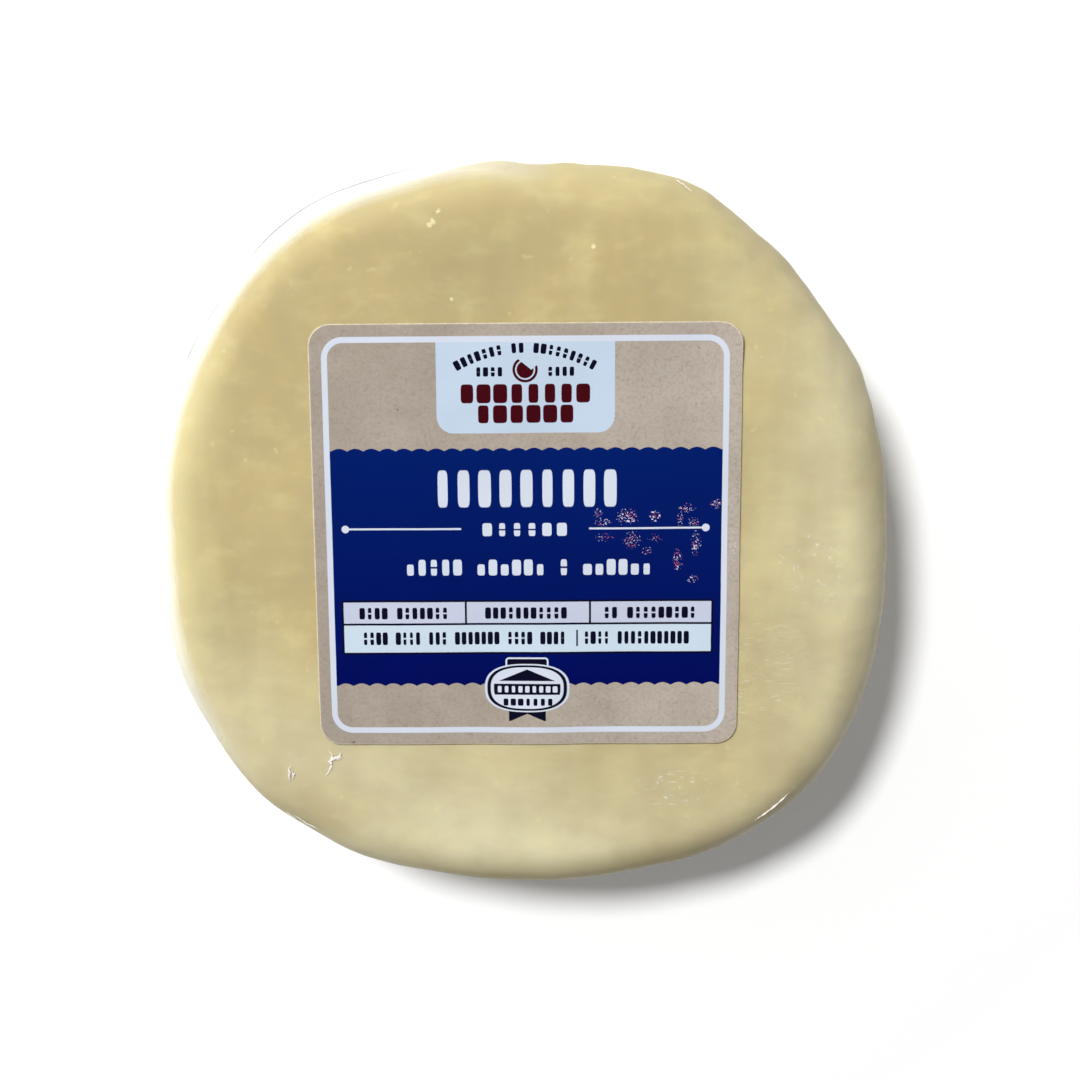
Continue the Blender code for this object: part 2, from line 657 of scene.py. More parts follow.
    def under(self, x: Points, y: Points) -> tuple[Points, Points]:
        """Finds the places of the upper side that lie under points of the plan.

        Args:
            x: The points' x.
            y: The points' y.

        Returns:
            Their directions and stations.
        """
        angles = np.arctan2(y, x)
        reach = np.hypot(x, y)
        flat = self.outline(angles) - self.upper_shoulder
        past = np.clip((reach - flat) / self.upper_shoulder, 0.0, 1.0)
        turned = 2.0 - np.arccos(past ** (self.exponent / 2)) / (math.pi / 2)
        return angles, np.where(past > 0.0, turned, reach / flat)


def joined_rings(rings: Points, inward: bool = False) -> tuple[Points, list[tuple[int, ...]]]:
    """Joins closed rings of points into a skin, and shuts both ends.

    Args:
        rings: Points in rings, from one pole to the other.
        inward: Whether the faces point inwards.

    Returns:
        The points, and the faces as their numbers.
    """
    count, around = rings.shape[:2]
    points = np.concatenate([rings.reshape(-1, 3), rings[[0, -1]].mean(axis=1)])
    first = np.arange(around)
    after = np.roll(first, -1)
    faces: list[tuple[int, ...]] = []
    for start in range(0, (count - 1) * around, around):
        here = np.stack([first, first + around, after + around, after], axis=1) + start
        faces.extend(map(tuple, here.tolist()))
    pole = len(points) - 2
    last = (count - 1) * around
    faces.extend((pole, int(a), int(b)) for a, b in zip(first, after))
    faces.extend((pole + 1, int(last + b), int(last + a)) for a, b in zip(first, after))
    return points, [face[::-1] for face in faces] if inward else faces


class Piece:
    """Points and faces gathered for one piece."""

    def __init__(self) -> None:
        """Starts empty."""
        self.points: list[Points] = []
        self.faces: list[tuple[int, ...]] = []
        self.slots: list[int] = []
        self.size = 0

    def add(self, points: Points, faces: Iterable[Sequence[int]], slot: int = 0) -> None:
        """Adds a shell.

        Args:
            points: Its points.
            faces: Its faces, as numbers of its own points.
            slot: The material slot of its faces.
        """
        moved = [tuple(corner + self.size for corner in face) for face in faces]
        self.points.append(np.asarray(points).reshape(-1, 3))
        self.faces.extend(moved)
        self.slots.extend([slot] * len(moved))
        self.size += len(self.points[-1])

    def make(self, name: str, *finishes: Finish, replaces: str, slot: str) -> bpy.types.Object:
        """Makes the piece, smooth shaded and riding on the round.

        Args:
            name: The piece's name.
            finishes: The finish of each material slot.
            replaces: The node that it stands for.
            slot: The record's material slot; not used.

        Returns:
            The piece.
        """
        mesh = bpy.data.meshes.new(name)
        mesh.from_pydata(np.concatenate(self.points).tolist(), [], self.faces)
        mesh.polygons.foreach_set("material_index", self.slots)
        mesh.shade_smooth()
        for finish in finishes:
            mesh.materials.append(finish.material())
        mesh.update()
        made = bpy.data.objects.new(name, mesh)
        bpy.context.scene.collection.objects.link(made)
        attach(made, BODY)
        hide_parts(replaces)
        LOG.info("%s: %d faces", name, len(self.faces))
        return made


@dataclass(frozen=True)
class Mesh:
    """How finely a skin over the round is divided.

    Attributes:
        around: Points round each ring.
        top: Rings across the upper face.
        upper: Rings down the upper shoulder.
        lower: Rings down the lower shoulder.
        under: Rings across the underside.
        first: The station of the ring nearest each pole.
    """

    around: int
    top: int
    upper: int
    lower: int
    under: int
    first: float = 0.02

    def places(self) -> tuple[Points, Points]:
        """Gives the directions and stations of all its points, in rings.

        Returns:
            The places' directions and stations.
        """
        stations = np.concatenate(
            [
                np.linspace(self.first, 1.0, self.top, endpoint=False),
                np.linspace(1.0, 2.0, self.upper, endpoint=False),
                np.linspace(2.0, 3.0, self.lower, endpoint=False),
                np.linspace(3.0, 4.0 - self.first, self.under),
            ]
        )
        angles = np.linspace(0.0, math.tau, self.around, endpoint=False)
        turns, places = np.meshgrid(angles, stations)
        return turns, places


# ---------------------------------------------------------------------------------------------
# The cheese
# ---------------------------------------------------------------------------------------------


@dataclass(frozen=True)
class CurdFinish(Finish):
    """Pale yellow curd: soft blotches, paler where it has dried, faintly see-through, with painted light
    and painted shade on its rims.

    Attributes:
        curd: The colour of most of it.
        butter: Its yellower blotches.
        pale: Its paler side.
        dry_and_lit: Its palest flecks and streaks, and the painted light on its left rim and upper edge.
        shade: Its browner blotches.
        side: Its darker rind on the sides, also used as painted shade on the rims away from the lamps and
            along the lower rim.
        crumb: The colour of its few loose crumbs.
        soft: How far light goes through it.
        crumbs: Where those lie and how far they reach, in millimetres.
    """

    name: str = "provolone curd"
    curd: Colour = tint(195, 178, 129)
    butter: Colour = tint(203, 185, 129)
    pale: Colour = tint(222, 214, 176)
    dry_and_lit: Colour = tint(238, 229, 170)
    shade: Colour = tint(182, 164, 118)
    side: Colour = tint(160, 144, 88)
    crumb: Colour = tint(240, 230, 182)
    soft: float = 2.2 * MM
    crumbs: tuple[tuple[float, float, float], ...] = (
        (-12.9, 46.1, 0.42),
        (-12.3, 46.6, 0.30),
        (-11.6, 48.0, 0.28),
        (10.8, 43.0, 0.25),
        (-9.8, 35.6, 0.30),
    )

    def shader(self, bench: Bench) -> bpy.types.NodeSocket:
        """Builds the curd's shader.

        Args:
            bench: The bench to build on.

        Returns:
            The shader.
        """
        place = bench.place()
        x, y, z = bench.axes(place)
        broad = bench.noise(place, 26.0 * MM, 2.0, 0.55)
        blotch = bench.noise(bench.moved(place, shift=(0.3, 0.1, 0.2)), 9.0 * MM, 3.0, 0.62, 0.6)
        streak = bench.noise(bench.moved(place, scale=(1.0, 0.2, 0.6)), 6.0 * MM, 2.0, 0.6)
        marble = bench.noise(bench.moved(place, scale=(0.6, 1.0, 1.0)), 3.4 * MM, 3.0, 0.62, 0.2)
        grain = bench.noise(place, 0.9 * MM, 2.0, 0.6)
        colour = bench.blend(self.curd, self.butter, blotch.beyond(0.52, 0.30))
        drift = (broad - 0.5) * (30.0 * MM)
        low = (drift - y - x * 0.25).beyond(32.0 * MM, 26.0 * MM)
        right = (drift + x).beyond(36.0 * MM, 26.0 * MM) * 0.9
        colour = bench.blend(colour, self.pale, low.either(right))
        colour = bench.blend(colour, self.shade, broad.beyond(0.58, 0.30) * 0.6)
        colour = bench.blend(colour, self.shade, streak.beyond(0.60, 0.25) * 0.16)
        colour = bench.blend(colour, self.dry_and_lit, streak.within(0.38, 0.22) * 0.12)
        colour = bench.blend(colour, self.shade, marble.beyond(0.60, 0.24) * 0.2)
        colour = bench.blend(colour, self.dry_and_lit, marble.within(0.38, 0.22) * 0.2)
        # Darker sides, kept off the left rim that faces the lamps: partly a darker rind, partly painted
        # shade.
        leftward = (x * -0.93 + y * 0.12 + z * -0.25) + (broad - 0.5) * (16.0 * MM)
        far = leftward.beyond(44.0 * MM, 17.0 * MM)
        sides = z.within(20.5 * MM, 6.0 * MM) * (1.0 - far)
        colour = bench.blend(colour, self.side, sides * (0.3 + blotch * 0.3))
        # Painted shade along the lower rim of the upper face.
        under = low * z.within(23.4 * MM, 2.4 * MM) * (x + drift).beyond(-22.0 * MM, 30.0 * MM)
        colour = bench.blend(colour, self.side, under * 0.9)
        # Painted light: the left rim, which faces the lamps, is painted pale.
        colour = bench.blend(colour, self.dry_and_lit, far * 0.9)
        # Painted light: the upper rim is painted a little paler.
        top = (y + drift * 0.5).beyond(50.0 * MM, 12.0 * MM)
        colour = bench.blend(colour, self.dry_and_lit, top * 0.2)
        fleck = bench.noise(place, 1.7 * MM, 2.0, 0.5).beyond(0.72, 0.06)
        colour = bench.blend(colour, self.dry_and_lit, fleck * 0.25)
        ragged = (grain - 0.5) * 1.2
        for across, up, reach in self.crumbs:
            side, rise = x / MM - across, y / MM - up
            near = ((side * side + rise * rise).root() + ragged).within(reach, 0.25)
            colour = bench.blend(colour, self.crumb, near * z.beyond(15.0 * MM, MM) * 0.9)
        inputs = {
            "Base Color": colour,
            "Roughness": 0.45 + (grain - 0.5) * 0.14,
            "Normal": bench.bump(blotch, 0.10 * MM),
            "Subsurface Weight": 0.35,
            "Subsurface Radius": (1.0, 0.72, 0.36),
            "Subsurface Scale": self.soft,
            "Specular IOR Level": 0.1,
        }
        return bench.surface(inputs)


@dataclass(frozen=True)
class Cheese:
    """The cheese inside the film.

    Attributes:
        form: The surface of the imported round.
        mesh: How finely it is divided.
        clearance: How far it stays inside the film where the film hugs it.
    """

    form: Round
    mesh: Mesh = Mesh(around=400, top=34, upper=40, lower=26, under=26)
    clearance: float = 0.09 * MM

    def build(self) -> bpy.types.Object:
        """Builds the cheese as one closed skin.

        Returns:
            The cheese.
        """
        angles, stations = self.mesh.places()
        sides = ease((stations - 0.9) / 0.9) * ease((3.2 - stations) / 1.0)
        gap = self.form.standoff(angles) * sides
        piece = Piece()
        piece.add(*joined_rings(self.form.skin(angles, stations, -self.clearance - gap)))
        return piece.make("cheese", CurdFinish(), replaces="pack", slot="cheese")


# ---------------------------------------------------------------------------------------------
# The film
# ---------------------------------------------------------------------------------------------


@dataclass(frozen=True)
class FilmFinish(Finish):
    """Clear shrunk film: see-through, with a soft gloss that is stronger at a slant.

    Where it stands off the cheese it is glossier and hazy, and that haze is partly painted light. Two
    small patches are puckered, with painted glints on them and on two scratched patches.

    Attributes:
        body: The colour of the light that it reflects.
        haze_and_sheen: The colour of its haze, which is also its painted light on the loose edge and its
            painted glints.
        index: How strongly it bends light.
        loose_turn: The direction in which it is loosest, in radians.
        haze: How much of what lies under it its loose edge hides, partly as haze and partly as painted
            light.
        haze_top: The height where the haze fades out upwards.
        haze_low: The height where it thins out downwards.
        puckered: The oval with fine puckers and painted glints: its middle and its reach, in millimetres.
        scratched: The ovals with fine scratches and painted glints, and how strong those are.
    """

    name: str = "clear film"
    body: Colour = tint(250, 250, 246)
    haze_and_sheen: Colour = tint(247, 247, 239)
    index: float = 1.42
    loose_turn: float = math.radians(152)
    haze: float = 0.95
    haze_top: float = 22.6 * MM
    haze_low: float = 16.0 * MM
    puckered: tuple[tuple[float, float], tuple[float, float]] = ((43.4, -4.9), (6.0, 8.0))
    scratched: tuple[tuple[tuple[float, float], tuple[float, float], float], ...] = (
        ((23.3, -38.6), (7.5, 3.5), 1.0),
        ((36.0, -20.0), (9.0, 12.0), 0.4),
    )

    def shader(self, bench: Bench) -> bpy.types.NodeSocket:
        """Builds the film's shader.

        Args:
            bench: The bench to build on.

        Returns:
            The shader.
        """
        place = bench.place()
        x, y, z = bench.axes(place)
        pull = bench.noise(bench.moved(place, scale=(1.0, 0.22, 1.0)), 3.2 * MM, 2.0, 0.55, 0.5)
        broad = bench.noise(place, 11.0 * MM, 2.0, 0.5)
        fine = bench.noise(bench.moved(place, turn=(0.0, 0.0, 0.5)), 0.8 * MM, 2.0, 0.6, 0.8)
        across, up = x / MM, y / MM
        sparkling = bench.oval(across, up, *self.puckered)
        ovals = (bench.oval(across, up, middle, reach) * share for middle, reach, share in self.scratched)
        scratched = reduce(Signal.either, ovals)
        normal = bench.bump(broad * 0.75 + pull * 0.25, 0.12 * MM)
        normal = bench.bump(fine * sparkling.either(scratched), 0.12 * MM, under=normal)
        way = x * math.cos(self.loose_turn) + y * math.sin(self.loose_turn)
        loose = (way / (x * x + y * y).root()).beyond(0.66, 0.58)
        fresnel = bench.number("ShaderNodeFresnel", "Fac", inputs={"IOR": self.index, "Normal": normal})
        gloss = fresnel.both(0.05 + loose * 0.5) * (0.7 + loose * 0.3)
        # White specks on the puckers are painted glints; white dashes on the scratched patches are partly
        # scuffs and partly painted glints.
        dash = bench.noise(bench.moved(place, scale=(0.22, 1.0, 1.0)), 0.36 * MM, 2.0, 0.6)
        glint = fine.beyond(0.66, 0.05) * sparkling * 0.5
        glint = glint.either(dash.beyond(0.63, 0.06) * scratched * 0.45)
        # The loose edge's white haze: partly haze of the loose film, partly painted light that whitens
        # the shaded gap seen through it.
        band = z.within(self.haze_top, 1.9 * MM) * (0.12 + z.beyond(self.haze_low, 5.0 * MM) * 0.88)
        cloud = loose * band * (0.9 + broad * 0.4) * self.haze
        front = 1.0 - bench.number("ShaderNodeNewGeometry", "Backfacing")
        shine = {"Color": self.body, "Roughness": 0.30 + broad * 0.12, "Normal": normal}
        coat = bench.node("ShaderNodeBsdfGlossy", inputs=shine).outputs[0]
        haze_and_sheen = bench.surface({"Base Color": self.haze_and_sheen, "Roughness": 0.3, "Normal": normal})
        glossy = bench.mix(bench.clear(), coat, (gloss * front).held())
        return bench.mix(glossy, haze_and_sheen, (glint.either(cloud) * front).held())


@dataclass(frozen=True)
class ClearFinish(Finish):
    """Plain see-through film, for its inner side."""

    name: str = "film inside"

    def shader(self, bench: Bench) -> bpy.types.NodeSocket:
        """Builds the see-through shader."""
        return bench.clear()


@dataclass(frozen=True)
class FoldFinish(Finish):
    """Film that is creased white: half see-through and shiny, its white partly stress whitening and
    partly painted highlight.

    Attributes:
        white: The colour of the crease, partly painted highlight.
        cover: How much of what is under it a crease hides.
    """

    name: str = "creased film"
    white: Colour = tint(255, 250, 244)
    cover: float = 0.75

    def shader(self, bench: Bench) -> bpy.types.NodeSocket:
        """Builds the crease's shader.

        Args:
            bench: The bench to build on.

        Returns:
            The shader.
        """
        place = bench.place()
        fine = bench.noise(place, 0.5 * MM, 2.0, 0.6)
        normal = bench.bump(fine, 0.05 * MM)
        # The white crease is partly stress whitening and partly painted highlight.
        inputs = {"Base Color": self.white, "Roughness": 0.18 + fine * 0.15, "Normal": normal}
        share = (fine.beyond(0.42, 0.4) * self.cover + 0.3).held()
        return bench.mix(bench.clear(), bench.surface(inputs), share)


@dataclass(frozen=True)
class Fold:
    """A pinched fold in the film.

    Attributes:
        run: Points of the plan that it runs through, in millimetres.
        width: How wide it is in its middle.
        height: How high it stands there.
        seed: Fixes how it wanders.
        sway: How far it wanders, as a share of its width.
        blunt: Whether it is at its widest at its start, not in its middle.
        steps: How many rings it has along it.
    """

    run: tuple[tuple[float, float], ...]
    width: float = 0.45 * MM
    height: float = 0.30 * MM
    seed: int = 0
    sway: float = 0.3
    blunt: bool = False
    steps: int = 28

    def places(self, form: Round, shares: Points) -> tuple[Points, Points]:
        """Gives the directions and stations that the fold runs through.

        Args:
            form: The surface that it stands on.
            shares: How far along the fold each place is, from 0 to 1.

        Returns:
            The places' directions and stations.
        """
        corners = np.array(self.run) * MM
        given = np.linspace(0.0, 1.0, len(corners))
        x, y = (np.interp(shares, given, corners[:, axis]) for axis in (0, 1))
        draw = np.random.default_rng(self.seed)
        for count in (1.7, 3.4, 5.1):
            bend = np.sin(shares * math.pi * count + draw.uniform(0.0, math.tau))
            x = x + bend * self.width * self.sway * draw.uniform(-1.0, 1.0)
            y = y + bend * self.width * self.sway * draw.uniform(-1.0, 1.0)
        return form.under(x, y)

    def rings(self, form: Round, around: int = 8) -> Points:
        """Gives the fold's skin, in rings from one end to the other.

        Args:
            form: The surface that it stands on.
            around: Points round each ring.

        Returns:
            Points in rings.
        """
        shares = np.linspace(0.0, 1.0, self.steps)
        angles, stations = self.places(form, shares)
        line = form.skin(angles, stations)
        up = form.normals(angles, stations)
        along = np.gradient(line, axis=0)
        along /= np.linalg.norm(along, axis=-1, keepdims=True)
        side = np.cross(along, up)
        reach = np.clip(shares, 0.02, 0.98) * math.pi
        taper = np.cos(reach / 2) ** 0.8 if self.blunt else np.sin(reach) ** 0.7
        taper = taper * (0.8 + 0.2 * np.sin(shares * 23.0 + self.seed))
        turns = np.linspace(0.0, math.tau, around, endpoint=False)
        over = np.maximum(np.sin(turns), -0.25)
        across = side[:, None] * (np.cos(turns)[None] * taper[:, None] * self.width / 2)[..., None]
        rise = up[:, None] * (over[None] * taper[:, None] * self.height)[..., None]
        return line[:, None] + across + rise


@dataclass(frozen=True)
class EdgeFold(Fold):
    """A fold that runs along the film's edge: its run is in degrees and stations."""

    steps: int = 90

    def places(self, form: Round, shares: Points) -> tuple[Points, Points]:
        """Gives the directions and stations that the fold runs through.

        Args:
            form: The surface that it stands on.
            shares: How far along the fold each place is, from 0 to 1.

        Returns:
            The places' directions and stations.
        """
        corners = np.array(self.run)
        given = np.linspace(0.0, 1.0, len(corners))
        turns, stations = (np.interp(shares, given, corners[:, axis]) for axis in (0, 1))
        return np.radians(turns), stations + 0.015 * np.sin(shares * 19.0 + self.seed)


@dataclass(frozen=True)
class Film:
    """The clear film drawn over the cheese, with its creases.

    Attributes:
        form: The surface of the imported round.
        outer: How finely its outer side is divided.
        inner: How finely its inner side is divided.
        gauge: How thick it is.
        folds: Its pinched folds.
        edges: The folds along its loose edge.
    """

    form: Round
    outer: Mesh = Mesh(around=360, top=50, upper=50, lower=24, under=20)
    inner: Mesh = Mesh(around=160, top=16, upper=22, lower=12, under=10)
    gauge: float = 0.05 * MM
    folds: tuple[Fold, ...] = (
        Fold(((-29.2, -33.7), (-29.5, -35.1), (-30.7, -36.4)), 0.6 * MM, 0.13 * MM, 1, blunt=True),
        Fold(((-29.3, -33.9), (-28.5, -33.4), (-27.7, -32.5)), 0.6 * MM, 0.13 * MM, 2, blunt=True),
        Fold(((-29.2, -33.8), (-28.4, -33.7), (-27.8, -33.3)), 0.4 * MM, 0.12 * MM, 3, blunt=True),
        Fold(((-29.2, -33.8), (-29.4, -33.0), (-29.8, -32.3)), 0.4 * MM, 0.12 * MM, 4, blunt=True),
        Fold(((-29.2, -33.8), (-29.7, -34.0), (-30.1, -34.4)), 0.4 * MM, 0.16 * MM, 5, blunt=True),
        Fold(((-35.8, -34.8), (-36.1, -36.0), (-35.8, -37.4)), 0.46 * MM, 0.14 * MM, 6),
        Fold(((-35.6, -35.4), (-35.3, -36.2), (-35.7, -36.8)), 0.40 * MM, 0.12 * MM, 7),
        Fold(((35.9, -44.5), (38.5, -42.4), (40.9, -39.8)), 0.42 * MM, 0.25 * MM, 8, 0.1),
        Fold(((-36.3, -43.7), (-34.4, -45.3), (-32.4, -46.4)), 0.40 * MM, 0.16 * MM, 9, 0.1),
        Fold(((-37.4, -43.2), (-36.5, -44.2), (-35.9, -44.8)), 0.24 * MM, 0.16 * MM, 10, 0.1),
        Fold(((23.2, 52.6), (24.2, 52.0), (25.3, 51.1)), 0.36 * MM, 0.2 * MM, 11),
        Fold(((-26.9, -29.9), (-27.2, -31.0), (-27.6, -31.6)), 0.2 * MM, 0.1 * MM, 12),
    )
    edges: tuple[EdgeFold, ...] = (
        EdgeFold(((100.0, 1.90), (126.0, 1.82), (170.0, 1.92)), 0.26 * MM, 0.20 * MM, 21),
        EdgeFold(((98.0, 2.03), (140.0, 2.06), (183.0, 2.02)), 0.30 * MM, 0.28 * MM, 22),
        EdgeFold(((128.0, 1.62), (146.0, 1.66), (158.0, 1.76)), 0.18 * MM, 0.09 * MM, 23),
    )

    def build(self) -> bpy.types.Object:
        """Builds the film as a thin closed shell round the cheese, too clear to shade it.

        Returns:
            The film.
        """
        piece = Piece()
        angles, stations = self.outer.places()
        piece.add(*joined_rings(self.form.skin(angles, stations)))
        angles, stations = self.inner.places()
        lining = joined_rings(self.form.skin(angles, stations, -self.gauge), inward=True)
        piece.add(*lining, slot=1)
        made = piece.make("film", FilmFinish(), ClearFinish(), replaces="pack", slot="film")
        made.visible_shadow = False
        made.visible_diffuse = False
        return made

    def build_folds(self) -> bpy.types.Object:
        """Builds the folds pinched up out of the film.

        Returns:
            The folds, as one piece.
        """
        piece = Piece()
        for fold in self.folds:
            piece.add(*joined_rings(fold.rings(self.form)))
        return piece.make("film_folds", FoldFinish(), replaces="pack", slot="film")

    def build_edge(self) -> bpy.types.Object:
        """Builds the folds along the film's loose edge.

        Returns:
            The folds, as one piece.
        """
        piece = Piece()
        for fold in self.edges:
            piece.add(*joined_rings(fold.rings(self.form)))
        finish = FoldFinish("film edge", tint(198, 201, 206), 0.55)
        return piece.make("film_edge", finish, replaces="pack", slot="film")


# ---------------------------------------------------------------------------------------------
# The label
# ---------------------------------------------------------------------------------------------


class Ink(Enum):
    """The label's printing colours, and the two colours of its painted gloss specks."""

    PALE = tint(213, 220, 234)
    TAB = tint(196, 212, 231)
    FIELD = tint(204, 220, 234)
    FIELD_SHADED = tint(199, 205, 225)
    NIGHT = tint(12, 12, 34)
    MAROON = tint(66, 10, 20)
    BLUE_HIGH = tint(4, 30, 103)
    BLUE_LOW = tint(3, 12, 88)
    # Painted highlights: the colours of the gloss specks, not inks.
    SPARK = tint(236, 226, 240)
    SPARK_RED = tint(214, 112, 122)


@dataclass(frozen=True)
class Patch:
    """An upright rounded oblong on the label, in millimetres from the label's middle."""

    left: float
    right: float
    low: float
    high: float
    corner: float = 0.0

    def distance(self, x: Signal, y: Signal) -> Signal:
        """Gives how far outside its edge each point lies, and below 0 how far inside.

        Args:
            x: Across from the label's middle, in millimetres.
            y: Up from the label's middle, in millimetres.

        Returns:
            The distance in millimetres.
        """
        across = abs(x - (self.left + self.right) / 2) - ((self.right - self.left) / 2 - self.corner)
        up = abs(y - (self.low + self.high) / 2) - ((self.high - self.low) / 2 - self.corner)
        over = across.either(0.0)
        above = up.either(0.0)
        outside = (over * over + above * above).root()
        return outside + across.either(up).both(0.0) - self.corner


@dataclass(frozen=True)
class PrintRow:
    """A line of plain blocks that stands in for words, in millimetres.

    Attributes:
        left: Where it starts, in millimetres from the label's middle.
        low: Its lower edge.
        pitch: The room that one block has.
        height: How high the tallest blocks are.
        words: How many blocks each word has.
        fill: How much of its room a block takes.
        vary: How much that differs between blocks.
        uneven: How much lower than the tallest some blocks are, as a share.
        split: How many of the blocks have a gap across them, as a share.
        seed: Fixes which blocks those are.
    """

    left: float
    low: float
    pitch: float
    height: float
    words: tuple[int, ...]
    fill: float = 0.62
    vary: float = 0.6
    uneven: float = 0.0
    split: float = 0.3
    seed: float = 0.0

    def mask(self, bench: Bench, x: Signal, y: Signal) -> Signal:
        """Masks the blocks.

        Args:
            bench: The bench to build on.
            x: Across, in millimetres.
            y: Up, in millimetres.

        Returns:
            1 on a block, 0 off it.
        """
        cells = sum(self.words) + len(self.words) - 1
        steps = []
        start = 0
        for word in self.words:
            steps += [(start / cells, WHITE), ((start + word) / cells, BLACK)]
            start += word + 1
        count = (x - self.left) / self.pitch
        along = count / float(cells)
        ramp = {"settings": {"steps": steps}, "inputs": {0: along}}
        worded = bench.number("ShaderNodeValToRGB", "Color", **ramp)
        inside = abs(along - 0.5).within(0.5, 0.001)
        share = count.part()
        lot = self.lot(bench, count - share, self.seed)
        up = (y - self.low) / self.height
        if self.uneven:
            lower = self.lot(bench, count - share, self.seed + 40.0).within(0.6, 0.01)
            up = up / (1.0 - lower * self.uneven)
        half = self.fill / 2 * (1.0 + self.vary * (lot - 0.5))
        across = abs(share - 0.5) / half
        rise = abs(up - 0.5) / 0.5
        block = (across**5.0 + rise**5.0).within(1.0, 0.3)
        gap = rise.within(0.12, 0.08) * lot.within(self.split, 0.01)
        return worded * inside * block * (1.0 - gap)

    @staticmethod
    def lot(bench: Bench, count: Signal, seed: float) -> Signal:
        """Draws a number from 0 to 1 for each block.

        Args:
            bench: The bench to build on.
            count: The block's number, as a whole number.
            seed: Fixes the draw.

        Returns:
            The number drawn.
        """
        settings = {"noise_dimensions": "1D"}
        return bench.number(
            "ShaderNodeTexWhiteNoise", "Value", settings=settings, inputs={"W": count + (seed + 0.5)}
        )


@dataclass(frozen=True)
class Press:
    """What prints the label.

    Attributes:
        bench: The bench to build on.
        x: Across from the label's middle, in millimetres.
        y: Up from the label's middle, in millimetres.
        soft: How soft the print's edges are, in millimetres.
    """

    bench: Bench
    x: Signal
    y: Signal
    soft: float

    def fill(self, patch: Patch, grown: float = 0.0) -> Signal:
        """Masks a patch that is grown by so many millimetres."""
        return patch.distance(self.x, self.y).within(grown, self.soft)

    def rows(self, rows: Iterable[PrintRow]) -> Signal:
        """Masks the blocks of some rows."""
        return reduce(Signal.either, [row.mask(self.bench, self.x, self.y) for row in rows])

    def away(self, x: float, y: float) -> Signal:
        """Gives the distance from a point of the label, in millimetres."""
        across, up = self.x - x, self.y - y
        return (across * across + up * up).root()

    def lay(self, under: Any, ink: Ink, mask: Signal) -> bpy.types.NodeSocket:
        """Lays an ink over a colour where the mask is 1."""
        return self.bench.blend(under, ink.value, mask)


@dataclass(frozen=True)
class Crest:
    """The pale tab with a cut round of cheese, an arch of blocks and two bold rows.

    Attributes:
        tab: The tab.
        bold: Its bold rows.
        plain: Its rows beside the round.
        arched: The row that runs round the arch.
        arch_y: How high the arch's middle is.
        arch: The arch's radius.
        wheel_y: How high the round's middle is.
        wheel: The round's radius.
        ring: The radius of the pale ring in it.
        ring_half: Half the width of that ring.
        cut_x: Where the cut comes to its point, across.
        cut_slope: How steeply the cut rises to each side.
    """

    tab: Patch = Patch(-13.03, 13.11, 15.73, 32.0, 2.5)
    bold: tuple[PrintRow, ...] = (
        PrintRow(-9.75, 20.12, 2.43, 2.76, (8,), fill=0.70, vary=0.5, split=0.0, seed=31.0),
        PrintRow(-7.4, 17.2, 2.45, 2.62, (6,), fill=0.70, vary=0.5, split=0.0, seed=37.0),
    )
    plain: tuple[PrintRow, ...] = (
        PrintRow(-7.35, 24.0, 1.05, 1.35, (4,), seed=43.0),
        PrintRow(3.15, 24.0, 1.05, 1.35, (4,), seed=47.0),
    )
    arched: PrintRow = PrintRow(-10.5, 0.0, 1.05, 1.45, (7, 2, 9), seed=41.0)
    arch_y: float = 7.3
    arch: float = 20.1
    wheel_y: float = 24.95
    wheel: float = 1.85
    ring: float = 1.35
    ring_half: float = 0.11
    cut_x: float = 0.9
    cut_slope: float = 0.8

    def print_on(self, press: Press, under: Any, inside: Signal) -> bpy.types.NodeSocket:
        """Prints the crest.

        Args:
            press: What prints it.
            under: The colour that it is printed on.
            inside: 1 inside the label's border.

        Returns:
            The colour with the crest on it.
        """
        colour = press.lay(under, Ink.TAB, press.fill(self.tab) * inside)
        away = press.away(0.0, self.wheel_y)
        ring = abs(away - self.ring).within(self.ring_half, press.soft)
        wheel = away.within(self.wheel, press.soft) * (1.0 - ring)
        past_cut = abs(press.x - self.cut_x) * self.cut_slope - (press.y - self.wheel_y)
        marks = press.rows(self.bold).either(wheel * past_cut.beyond(0.0, press.soft))
        colour = press.lay(colour, Ink.MAROON, marks)
        along = press.x.turn(press.y - self.arch_y) * self.arch
        out = press.away(0.0, self.arch_y) - self.arch
        marks = self.arched.mask(press.bench, along, out).either(press.rows(self.plain))
        return press.lay(colour, Ink.NIGHT, marks)


